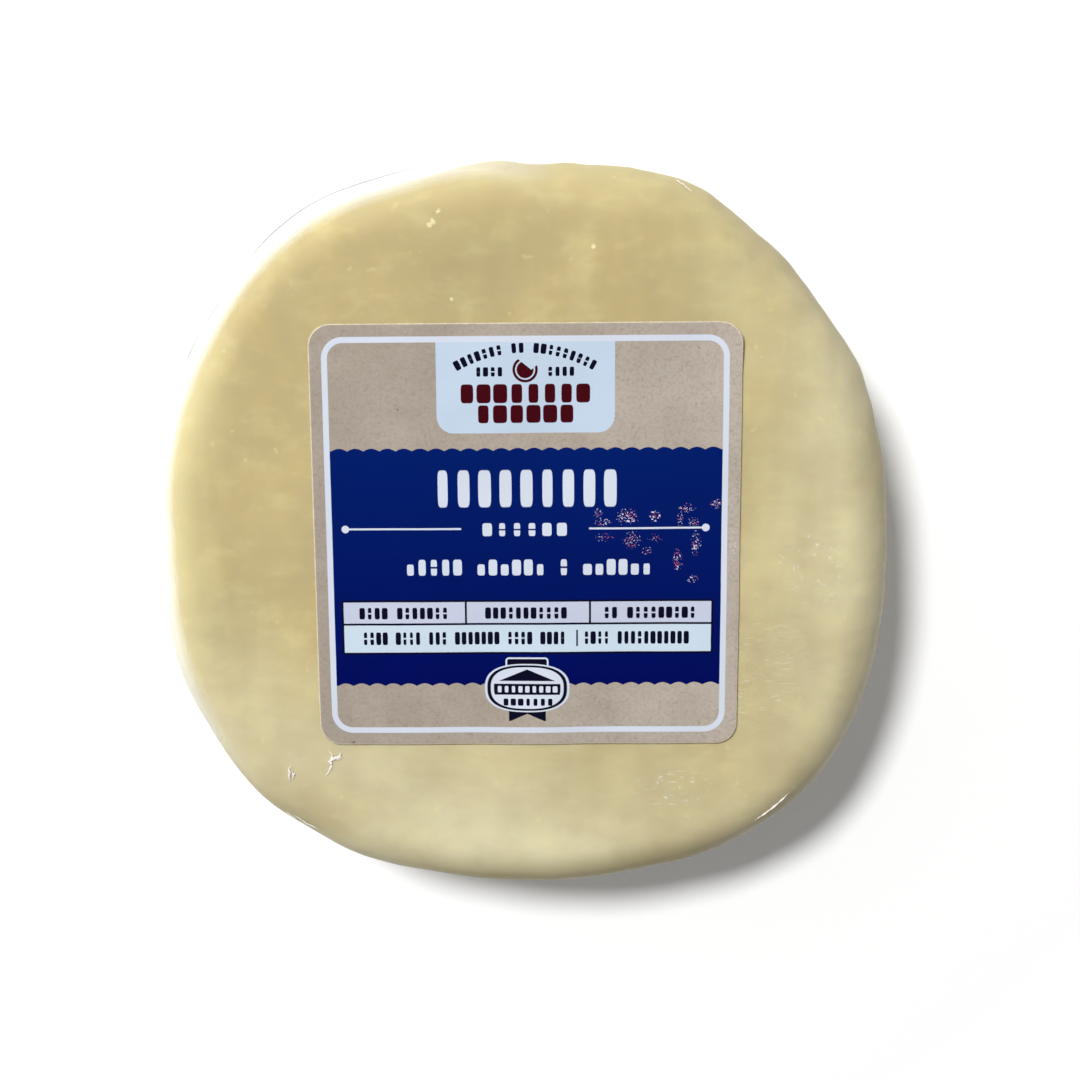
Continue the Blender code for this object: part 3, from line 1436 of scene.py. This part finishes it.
@dataclass(frozen=True)
class Seal:
    """The plain seal over the band's lower edge.

    Attributes:
        cap: The small cap above it.
        cap_rim: How wide the pale rim round the cap is.
        tail: The dark tail below it.
        notch: How high the tail's notch reaches in its middle.
        notch_slope: How steeply the notch falls to each side.
        middle: The seal's middle.
        reach: How far it goes each way.
        square: How square it is, where 2 is round.
        girth: Its mean radius.
        rings: Its rings: how far in each starts, and its ink.
        field: How far in its inner field starts.
        ribbon: The dark ribbon across the field.
        roof_high: How high the dark roof above the ribbon reaches.
        roof_low: Where that roof ends.
        roof_slope: How steeply it falls to each side.
        dark_rows: The dark rows under the ribbon.
        pale_rows: The pale rows on the ribbon.
    """

    cap: Patch = Patch(-3.1, 2.9, -20.0, -18.35, 0.3)
    cap_rim: float = 0.25
    tail: Patch = Patch(-2.9, 2.7, -28.0, -24.0)
    notch: float = -26.85
    notch_slope: float = 0.45
    middle: tuple[float, float] = (-0.1, -22.85)
    reach: tuple[float, float] = (6.4, 3.75)
    square: float = 2.6
    girth: float = 4.5
    rings: tuple[tuple[float, Ink], ...] = ((0.0, Ink.PALE), (0.25, Ink.NIGHT), (0.62, Ink.PALE))
    field: float = 0.95
    ribbon: Patch = Patch(-6.0, 5.8, -23.9, -22.2)
    roof_high: float = -19.95
    roof_low: float = -21.75
    roof_slope: float = 0.42
    dark_rows: tuple[PrintRow, ...] = (
        PrintRow(-3.9, -25.6, 1.12, 1.1, (7,), fill=0.62, split=0.0, seed=51.0),
    )
    pale_rows: tuple[PrintRow, ...] = (
        PrintRow(-4.8, -23.55, 1.05, 1.0, (9,), fill=0.6, split=0.0, seed=57.0),
    )

    def print_on(self, press: Press, under: Any) -> bpy.types.NodeSocket:
        """Prints the seal.

        Args:
            press: What prints it.
            under: The colour that it is printed on.

        Returns:
            The colour with the seal on it.
        """
        side, rise = abs(press.x - self.middle[0]), abs(press.y - self.middle[1])
        notched = (press.y + side * self.notch_slope).beyond(self.notch, press.soft)
        colour = press.lay(under, Ink.PALE, press.fill(self.cap, self.cap_rim))
        dark = press.fill(self.cap).either(press.fill(self.tail) * notched)
        colour = press.lay(colour, Ink.NIGHT, dark)
        squared = (side / self.reach[0]) ** self.square + (rise / self.reach[1]) ** self.square
        edge = (squared ** (1.0 / self.square) - 1.0) * self.girth
        for inset, ink in self.rings:
            colour = press.lay(colour, ink, edge.within(-inset, press.soft))
        ribbon = press.fill(self.ribbon) * edge.within(-self.field, press.soft)
        roof = (side * self.roof_slope + press.y).within(self.roof_high, press.soft)
        roof = roof * press.y.beyond(self.roof_low, press.soft)
        marks = ribbon.either(roof).either(press.rows(self.dark_rows))
        colour = press.lay(colour, Ink.NIGHT, marks)
        return press.lay(colour, Ink.PALE, press.rows(self.pale_rows))


@dataclass(frozen=True)
class LabelFinish(Finish):
    """Brown paper printed in blue, pale blue and maroon, under a satin coat, with painted gloss specks on
    the band.

    Sizes are in millimetres from the label's middle.

    Attributes:
        middle: The label's middle, in metres.
        paper: The brown paper.
        lit: The brown paper where it is paler.
        fibre: Its darker fibres.
        soft: How soft the print's edges are.
        border: The outer edge of the pale line round the print.
        border_width: How wide that line is.
        band_high: The blue band's upper edge.
        band_low: Its lower edge.
        scallop: How long one wave of those edges is.
        scallop_height: How high one is.
        titles: The rows of blocks on the band.
        rules: The lines beside the middle one.
        rule_ends: Where those end in a dot.
        rule_y: How high the dots are.
        rule_dot: A dot's radius.
        boxes: The pale boxes, with the palest last.
        box_line: Half the width of the dark line round each.
        entries: The rows of blocks in the boxes.
        divider: The line between two of them.
        crest: The tab at the top.
        seal: The seal at the bottom.
        sparkles: Where the painted gloss specks lie: the middle, the reach each way and the share of each
            patch.
    """

    middle: tuple[float, float]
    name: str = "printed label"
    paper: Colour = tint(169, 158, 146)
    lit: Colour = tint(191, 180, 168)
    fibre: Colour = tint(142, 127, 112)
    soft: float = 0.07
    border: Patch = Patch(-29.85, 29.85, -29.85, 29.85, 3.15)
    border_width: float = 0.87
    band_high: float = 13.15
    band_low: float = -22.45
    scallop: float = 2.4
    scallop_height: float = 0.40
    titles: tuple[PrintRow, ...] = (
        PrintRow(-13.9, 4.78, 3.10, 5.5, (9,), fill=0.54, vary=0.3, split=0.0, seed=3.0),
        PrintRow(-6.95, 0.43, 2.22, 1.95, (6,), fill=0.52, seed=11.0),
        PrintRow(-18.3, -5.5, 1.765, 2.4, (5, 6, 1, 6), fill=0.6, uneven=0.3, seed=23.0),
    )
    rules: tuple[Patch, ...] = (
        Patch(-27.0, -9.73, 1.38, 1.66),
        Patch(9.29, 26.64, 1.38, 1.66),
    )
    rule_ends: tuple[float, ...] = (-27.0, 26.64)
    rule_y: float = 1.52
    rule_dot: float = 0.57
    boxes: tuple[Patch, ...] = (
        Patch(-27.59, -9.36, -12.79, -9.57),
        Patch(-9.06, 9.28, -12.79, -9.57),
        Patch(9.58, 27.58, -12.79, -9.57),
        Patch(-27.59, 27.58, -17.26, -13.09),
    )
    box_line: float = 0.15
    entries: tuple[PrintRow, ...] = (
        PrintRow(-25.4, -12.15, 1.135, 1.75, (4, 7), seed=2.0),
        PrintRow(-6.45, -12.15, 1.14, 1.75, (11,), seed=5.0),
        PrintRow(11.35, -12.15, 1.17, 1.75, (2, 9), seed=8.0),
        PrintRow(-24.9, -16.1, 0.99, 1.95, (4, 4, 3, 7, 4, 4), seed=13.0),
        PrintRow(8.4, -16.1, 1.0, 1.95, (4, 11), seed=17.0),
    )
    divider: Patch = Patch(7.35, 7.6, -16.4, -13.9)
    crest: Crest = Crest()
    seal: Seal = Seal()
    sparkles: tuple[tuple[float, float, float, float, float], ...] = (
        (10.6, 3.9, 0.9, 1.0, 0.7),
        (11.3, 2.4, 1.5, 0.8, 0.8),
        (14.9, 3.2, 2.0, 1.4, 1.0),
        (19.1, 3.2, 1.1, 1.2, 1.0),
        (22.9, 2.8, 0.6, 1.3, 0.8),
        (23.8, 4.5, 1.5, 0.9, 0.9),
        (24.9, 2.4, 1.1, 0.8, 0.9),
        (28.1, 5.1, 1.0, 0.9, 1.0),
        (11.6, 0.2, 1.7, 0.9, 0.6),
        (15.7, -0.3, 1.6, 1.6, 0.85),
        (19.2, 0.0, 1.4, 0.9, 0.6),
        (17.9, -1.9, 1.0, 0.9, 0.8),
        (25.2, -0.9, 0.9, 2.4, 0.8),
        (22.5, -3.4, 0.9, 2.0, 0.9),
        (24.7, -6.2, 1.0, 0.7, 0.7),
        (30.7, -1.6, 0.7, 3.2, 0.7),
    )

    def shader(self, bench: Bench) -> bpy.types.NodeSocket:
        """Builds the label's shader.

        Args:
            bench: The bench to build on.

        Returns:
            The shader.
        """
        place = bench.place()
        x, y, _ = bench.axes(place)
        press = Press(bench, (x - self.middle[0]) / MM, (y - self.middle[1]) / MM, self.soft)
        grain = bench.noise(place, 0.5 * MM, 3.0, 0.7)
        line = self.border.distance(press.x, press.y) + self.border_width / 2
        inside = line.within(0.0, self.soft)
        colour = self.kraft(press, place, grain)
        colour = self.band(press, colour, inside)
        # Painted highlights: specks of gloss on the band.
        colour = self.sparkle(press, place, colour)
        colour = self.panel(press, colour)
        colour = self.crest.print_on(press, colour, inside)
        colour = press.lay(colour, Ink.PALE, abs(line).within(self.border_width / 2, self.soft))
        colour = self.seal.print_on(press, colour)
        inputs = {
            "Base Color": colour,
            "Roughness": 0.46 + (grain - 0.5) * 0.2,
            "Normal": bench.bump(grain, 0.02 * MM),
            "Specular IOR Level": 0.02,
        }
        return bench.surface(inputs)

    def kraft(self, press: Press, place: bpy.types.NodeSocket, grain: Signal) -> bpy.types.NodeSocket:
        """Colours the brown paper, with its fibres and specks.

        Args:
            press: What prints the label.
            place: The point on the label.
            grain: Fine noise.

        Returns:
            The paper's colour.
        """
        bench = press.bench
        cloud = bench.noise(place, 9.0 * MM, 3.0, 0.6)
        paler = (press.x / 70.0 + 0.38 + (cloud - 0.5) * 1.8).held()
        colour = bench.blend(self.paper, self.lit, paler)
        colour = bench.blend(colour, self.fibre, grain.beyond(0.60, 0.30) * 0.4)
        for turn, stretch in ((0.5, 0.30), (-0.7, 0.35), (1.9, 0.30)):
            turned = bench.moved(bench.moved(place, turn=(0.0, 0.0, turn)), scale=(stretch, 1.0, 1.0))
            strand = bench.noise(turned, 0.45 * MM, 2.0, 0.6)
            colour = bench.blend(colour, self.fibre, strand.beyond(0.66, 0.12) * 0.28)
        speck = bench.noise(bench.moved(place, shift=(0.1, 0.2, 0.0)), 1.1 * MM, 1.0, 0.5)
        return press.lay(colour, Ink.NIGHT, speck.beyond(0.80, 0.04) * 0.45)

    def band(self, press: Press, under: Any, inside: Signal) -> bpy.types.NodeSocket:
        """Prints the blue band with its waved edges, its rows of blocks and its lines.

        Args:
            press: What prints it.
            under: The colour that it is printed on.
            inside: 1 inside the label's border.

        Returns:
            The colour with the band on it.
        """
        ripple = abs((press.x * (math.pi / self.scallop)).wave()) * self.scallop_height
        low = (press.y - ripple).beyond(self.band_low, self.soft)
        high = (press.y - ripple).within(self.band_high, self.soft)
        depth = ((press.y - self.band_low) / (self.band_high - self.band_low)).held()
        blue = press.lay(Ink.BLUE_LOW.value, Ink.BLUE_HIGH, depth)
        colour = press.bench.blend(under, blue, low * high * inside)
        dots = [press.away(end, self.rule_y).within(self.rule_dot, self.soft) for end in self.rule_ends]
        lines = [press.fill(rule) for rule in self.rules]
        marks = reduce(Signal.either, lines + dots, press.rows(self.titles))
        return press.lay(colour, Ink.PALE, marks)

    def sparkle(self, press: Press, place: bpy.types.NodeSocket, under: Any) -> bpy.types.NodeSocket:
        """Paints specks of gloss into the colour, as painted highlights.

        Args:
            press: What prints the label.
            place: The point on the label.
            under: The colour that they lie on.

        Returns:
            The colour with the specks on it.
        """
        bench = press.bench
        colour = under
        spark = bench.noise(place, 0.26 * MM, 2.0, 0.75)
        hue = bench.noise(bench.moved(place, shift=(0.2, 0.3, 0.0)), 0.8 * MM, 1.0, 0.5)
        ink = press.lay(Ink.SPARK.value, Ink.SPARK_RED, hue.beyond(0.54, 0.06))
        for across, up, wide, high, dense in self.sparkles:
            zone = bench.oval(press.x, press.y, (across, up), (wide, high)) * dense
            speck = (spark + zone * 0.14).beyond(0.70, 0.05) * zone.beyond(0.2, 0.2)
            colour = bench.blend(colour, ink, speck)
        return colour

    def panel(self, press: Press, under: Any) -> bpy.types.NodeSocket:
        """Prints the pale boxes and their rows of blocks.

        Args:
            press: What prints them.
            under: The colour that they are printed on.

        Returns:
            The colour with the boxes on it.
        """
        colour = under
        for box in self.boxes:
            edge = box.distance(press.x, press.y)
            rim = abs(edge - self.box_line).within(self.box_line, self.soft)
            colour = press.lay(colour, Ink.NIGHT, rim)
            ink = Ink.FIELD if box is self.boxes[-1] else Ink.FIELD_SHADED
            colour = press.lay(colour, ink, edge.within(0.0, self.soft))
        marks = press.fill(self.divider).either(press.rows(self.entries))
        return press.lay(colour, Ink.NIGHT, marks)


@dataclass(frozen=True)
class PaperFinish(Finish):
    """The label's cut edge and its plain back."""

    name: str = "paper edge"
    paper: Colour = tint(224, 214, 190)
    fibre: Colour = tint(196, 182, 154)

    def shader(self, bench: Bench) -> bpy.types.NodeSocket:
        """Builds the plain paper's shader.

        Args:
            bench: The bench to build on.

        Returns:
            The shader.
        """
        place = bench.place()
        strand = bench.noise(place, 0.6 * MM, 3.0, 0.6)
        colour = bench.blend(self.paper, self.fibre, strand.beyond(0.5, 0.4))
        normal = bench.bump(strand, 0.02 * MM)
        return bench.surface({"Base Color": colour, "Roughness": 0.6, "Normal": normal})


@dataclass(frozen=True)
class Label:
    """The square paper label stuck on the film.

    Attributes:
        form: The surface that it lies on.
        node: Its solid.
        corner: Its corners' radius.
        gauge: How thick it is.
        gap: How far it stays above the film.
        crease: Where its bent corner starts, from the label's middle.
        crease_turn: The direction in which that corner points, in radians.
        crease_slope: How steeply it rises.
        cockle: The paper's own unevenness.
        rings: How many rings it is divided into, apart from its cut edge's.
        bevel: How far its edge is worn round, as a share of its thickness.
    """

    form: Round
    node: str = "label"
    corner: float = 3.2 * MM
    gauge: float = 0.14 * MM
    gap: float = 0.06 * MM
    crease: tuple[float, float] = (28.0 * MM, 31.6 * MM)
    crease_turn: float = math.radians(27.4)
    crease_slope: float = 0.24
    cockle: Ripple = Ripple(21, 9.0 * MM, 26.0 * MM, 0.02 * MM)
    rings: int = 34
    bevel: float = 0.35

    def middle(self) -> tuple[float, float]:
        """Gives the label's middle in plan."""
        low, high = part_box(self.node)
        return (low.x + high.x) / 2, (low.y + high.y) / 2

    def half(self) -> float:
        """Gives half the label's side."""
        low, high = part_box(self.node)
        return (high.x - low.x) / 2

    def edge(self, per_corner: int = 10, per_side: int = 26) -> Points:
        """Gives the label's outline about its middle.

        Args:
            per_corner: Points round each corner.
            per_side: Points along each side, between the corners.

        Returns:
            Points of the plan, anticlockwise.
        """
        inner = self.half() - self.corner
        points: list[Points] = []
        for quarter in range(4):
            turn = quarter * math.pi / 2
            spin = np.array([[math.cos(turn), math.sin(turn)], [-math.sin(turn), math.cos(turn)]])
            side = np.linspace(-inner, inner, per_side, endpoint=False)
            straight = np.stack([np.full(per_side, self.half()), side], axis=1)
            bends = np.linspace(0.0, math.pi / 2, per_corner, endpoint=False)
            bent = inner + self.corner * np.stack([np.cos(bends), np.sin(bends)], axis=1)
            points.append(np.concatenate([straight, bent]) @ spin)
        return np.concatenate(points)

    def height(self, x: Points, y: Points) -> Points:
        """Gives the height of the label's lower side over points of the plan.

        Args:
            x: Across.
            y: Up.

        Returns:
            One height for each point.
        """
        points = self.form.skin(*self.form.under(x, y))
        middle = self.middle()
        past = (x - middle[0] - self.crease[0]) * math.cos(self.crease_turn)
        past = past + (y - middle[1] - self.crease[1]) * math.sin(self.crease_turn)
        raised = np.maximum(past, 0.0) * self.crease_slope + self.gap
        return points[..., 2] + raised + np.abs(self.cockle.at(points))

    def build(self) -> bpy.types.Object:
        """Builds the label as a thin sheet with its print on top.

        Returns:
            The label.
        """
        outline = self.edge()
        shares = np.concatenate([np.linspace(0.03, 0.985, self.rings), [0.9945, 1.0]])
        insets = np.concatenate([np.zeros(self.rings + 1), [self.bevel]]) * self.gauge
        sheets = []
        for rise, order in ((self.gauge, slice(None)), (0.0, slice(None, None, -1))):
            plan = outline[None] * shares[order, None, None] + np.array(self.middle())
            x, y = plan[..., 0], plan[..., 1]
            drop = insets[order, None] * (1.0 if rise else -1.0)
            sheets.append(np.stack([x, y, self.height(x, y) + rise - drop], axis=-1))
        points, faces = joined_rings(np.concatenate(sheets))
        around = len(outline)
        printed = around * (len(shares) - 2)
        piece = Piece()
        piece.add(points, faces)
        poles = len(faces) - 2 * around
        back = [printed <= number < poles or number >= poles + around for number in range(len(faces))]
        piece.slots = [int(is_back) for is_back in back]
        finishes = (LabelFinish(self.middle()), PaperFinish())
        return piece.make("label", *finishes, replaces=self.node, slot="label")


# ---------------------------------------------------------------------------------------------
# The stage
# ---------------------------------------------------------------------------------------------


@dataclass(frozen=True)
class BackdropFinish(Finish):
    """White ground that looks white to the eye and keeps the shadow on it.

    Attributes:
        ground: Its colour.
        glow: How much light it adds where it is seen.
        far_glow: How much more it adds far out, where the lamps fade.
        far_from: Where that starts, from the middle.
        far_to: Where that is full.
    """

    name: str = "white ground"
    ground: Colour = (0.95, 0.95, 0.95, 1.0)
    glow: float = 0.11
    far_glow: float = 1.0
    far_from: float = 0.12
    far_to: float = 0.40

    def shader(self, bench: Bench) -> bpy.types.NodeSocket:
        """Builds the ground's shader.

        Args:
            bench: The bench to build on.

        Returns:
            The shader.
        """
        matte = bench.node("ShaderNodeBsdfDiffuse", inputs={"Color": self.ground}).outputs[0]
        x, y, _ = bench.axes(bench.place())
        middle = (self.far_from + self.far_to) / 2
        far = (x * x + y * y).root().beyond(middle, self.far_to - self.far_from)
        shine = (seen(bench) * (far * self.far_glow + self.glow)).held()
        inputs = {"Color": bench.blend(BLACK, WHITE, shine), "Strength": 1.0}
        light = bench.node("ShaderNodeEmission", inputs=inputs).outputs[0]
        return bench.node("ShaderNodeAddShader", inputs={0: matte, 1: light}).outputs[0]


def seen(bench: Bench) -> Signal:
    """Gives 1 to rays that come from the eye, straight or by way of gloss or glass.

    Args:
        bench: The bench to build on.

    Returns:
        1 to such rays, 0 to others.
    """
    path = bench.node("ShaderNodeLightPath")
    straight, glossy, through = (
        Signal(bench, path.outputs[f"Is {kind} Ray"]) for kind in ("Camera", "Glossy", "Transmission")
    )
    return straight.either(glossy).either(through)


@dataclass(frozen=True)
class Lamp:
    """An oval soft lamp that looks at the round.

    Attributes:
        name: Its name.
        turn: The direction that it stands in, in degrees from x.
        lean: How far it leans from straight overhead, in degrees.
        away: Its distance.
        size: How wide it is, level with the floor.
        level: How brightly it lights a white surface that faces it, where 1 is white.
        depth: How deep it is.
        mirrored: Whether gloss shows it.
    """

    name: str
    turn: float
    lean: float
    away: float
    size: float
    level: float
    depth: float
    mirrored: bool = True

    def build(self, target: Vector) -> bpy.types.Object:
        """Builds the lamp.

        Args:
            target: What it looks at.

        Returns:
            The lamp.
        """
        light = bpy.data.lights.new(self.name, "AREA")
        light.shape = "ELLIPSE"
        light.size, light.size_y = self.size, self.depth
        light.energy = self.level * (math.pi * self.away) ** 2
        made = bpy.data.objects.new(self.name, light)
        turn, lean = math.radians(self.turn), math.radians(self.lean)
        way = Vector((math.cos(turn) * math.sin(lean), math.sin(turn) * math.sin(lean), math.cos(lean)))
        made.location = target + way * self.away
        made.rotation_euler = way.to_track_quat("Z", "Y").to_euler()
        made.visible_glossy = self.mirrored
        bpy.context.scene.collection.objects.link(made)
        return made


@dataclass(frozen=True)
class Studio:
    """The floor, lamps, surroundings and camera.

    Attributes:
        floor_side: The floor's side.
        floor_drop: How far the floor lies below the round.
        lamps: The lamps.
        ambient: The light that comes from everywhere.
        eye: Where the camera is.
        gaze: The camera's turn about each axis, in degrees.
        lens: Its focal length.
        sensor: The width of its sensor, in millimetres.
        nearest: How near it sees.
    """

    floor_side: float = 6.0
    floor_drop: float = 0.05 * MM
    lamps: tuple[Lamp, ...] = (
        Lamp("key", 129.0, 38.2, away=2.4, size=0.70, level=1.05, depth=0.40, mirrored=False),
        Lamp("side", 176.0, 70.0, away=2.0, size=1.3, level=0.06, depth=1.3),
        Lamp("rim", 128.0, 58.0, away=2.0, size=1.1, level=0.06, depth=1.1),
    )
    ambient: float = 0.15
    eye: tuple[float, float, float] = (4.48 * MM, 28.96 * MM, 213.16 * MM)
    gaze: tuple[float, float, float] = (-8.696, 0.451, -0.401)
    lens: float = 42.61
    sensor: float = 36.0
    nearest: float = 10.0 * MM

    def build(self) -> None:
        """Builds everything round the object."""
        low, high = cad_box
        target = (Vector(low) + Vector(high)) / 2
        for lamp in self.lamps:
            lamp.build(target)
            LOG.info("%s lamp", lamp.name)
        self.build_floor()
        self.build_world()
        self.build_camera()

    def build_floor(self) -> bpy.types.Object:
        """Builds the floor.

        Returns:
            The floor.
        """
        half = self.floor_side / 2
        plan = ((-half, -half), (half, -half), (half, half), (-half, half))
        corners = [(x, y, -self.floor_drop) for x, y in plan]
        mesh = bpy.data.meshes.new("floor")
        mesh.from_pydata(corners, [], [(0, 1, 2, 3)])
        mesh.materials.append(BackdropFinish().material())
        floor = bpy.data.objects.new("floor", mesh)
        bpy.context.scene.collection.objects.link(floor)
        return floor

    def build_world(self) -> None:
        """Builds the surroundings: white to look at, dimmer as light."""
        world = bpy.data.worlds.new("surroundings")
        world.use_nodes = True
        bench = Bench(world.node_tree)
        strength = seen(bench) * (1.0 - self.ambient) + self.ambient
        light = bench.node("ShaderNodeBackground", inputs={"Color": WHITE, "Strength": strength})
        bench.node("ShaderNodeOutputWorld", inputs={"Surface": light.outputs[0]})
        bpy.context.scene.world = world

    def build_camera(self) -> None:
        """Builds the camera that looks down on the round."""
        camera = bpy.data.cameras.new("camera")
        camera.lens = self.lens
        camera.sensor_width = self.sensor
        camera.clip_start = self.nearest
        eye = bpy.data.objects.new("camera", camera)
        eye.location = self.eye
        eye.rotation_euler = [math.radians(angle) for angle in self.gaze]
        bpy.context.scene.collection.objects.link(eye)
        bpy.context.scene.camera = eye


def main() -> None:
    """Builds the round, its film and its label, and the studio round them."""
    logging.basicConfig(level=logging.INFO, format="%(name)s: %(message)s")
    form = Round()
    Cheese(form).build()
    film = Film(form)
    film.build()
    film.build_folds()
    film.build_edge()
    Label(form).build()
    Studio().build()
    bpy.context.scene.view_settings.view_transform = "Standard"


if __name__ == "__main__":
    main()
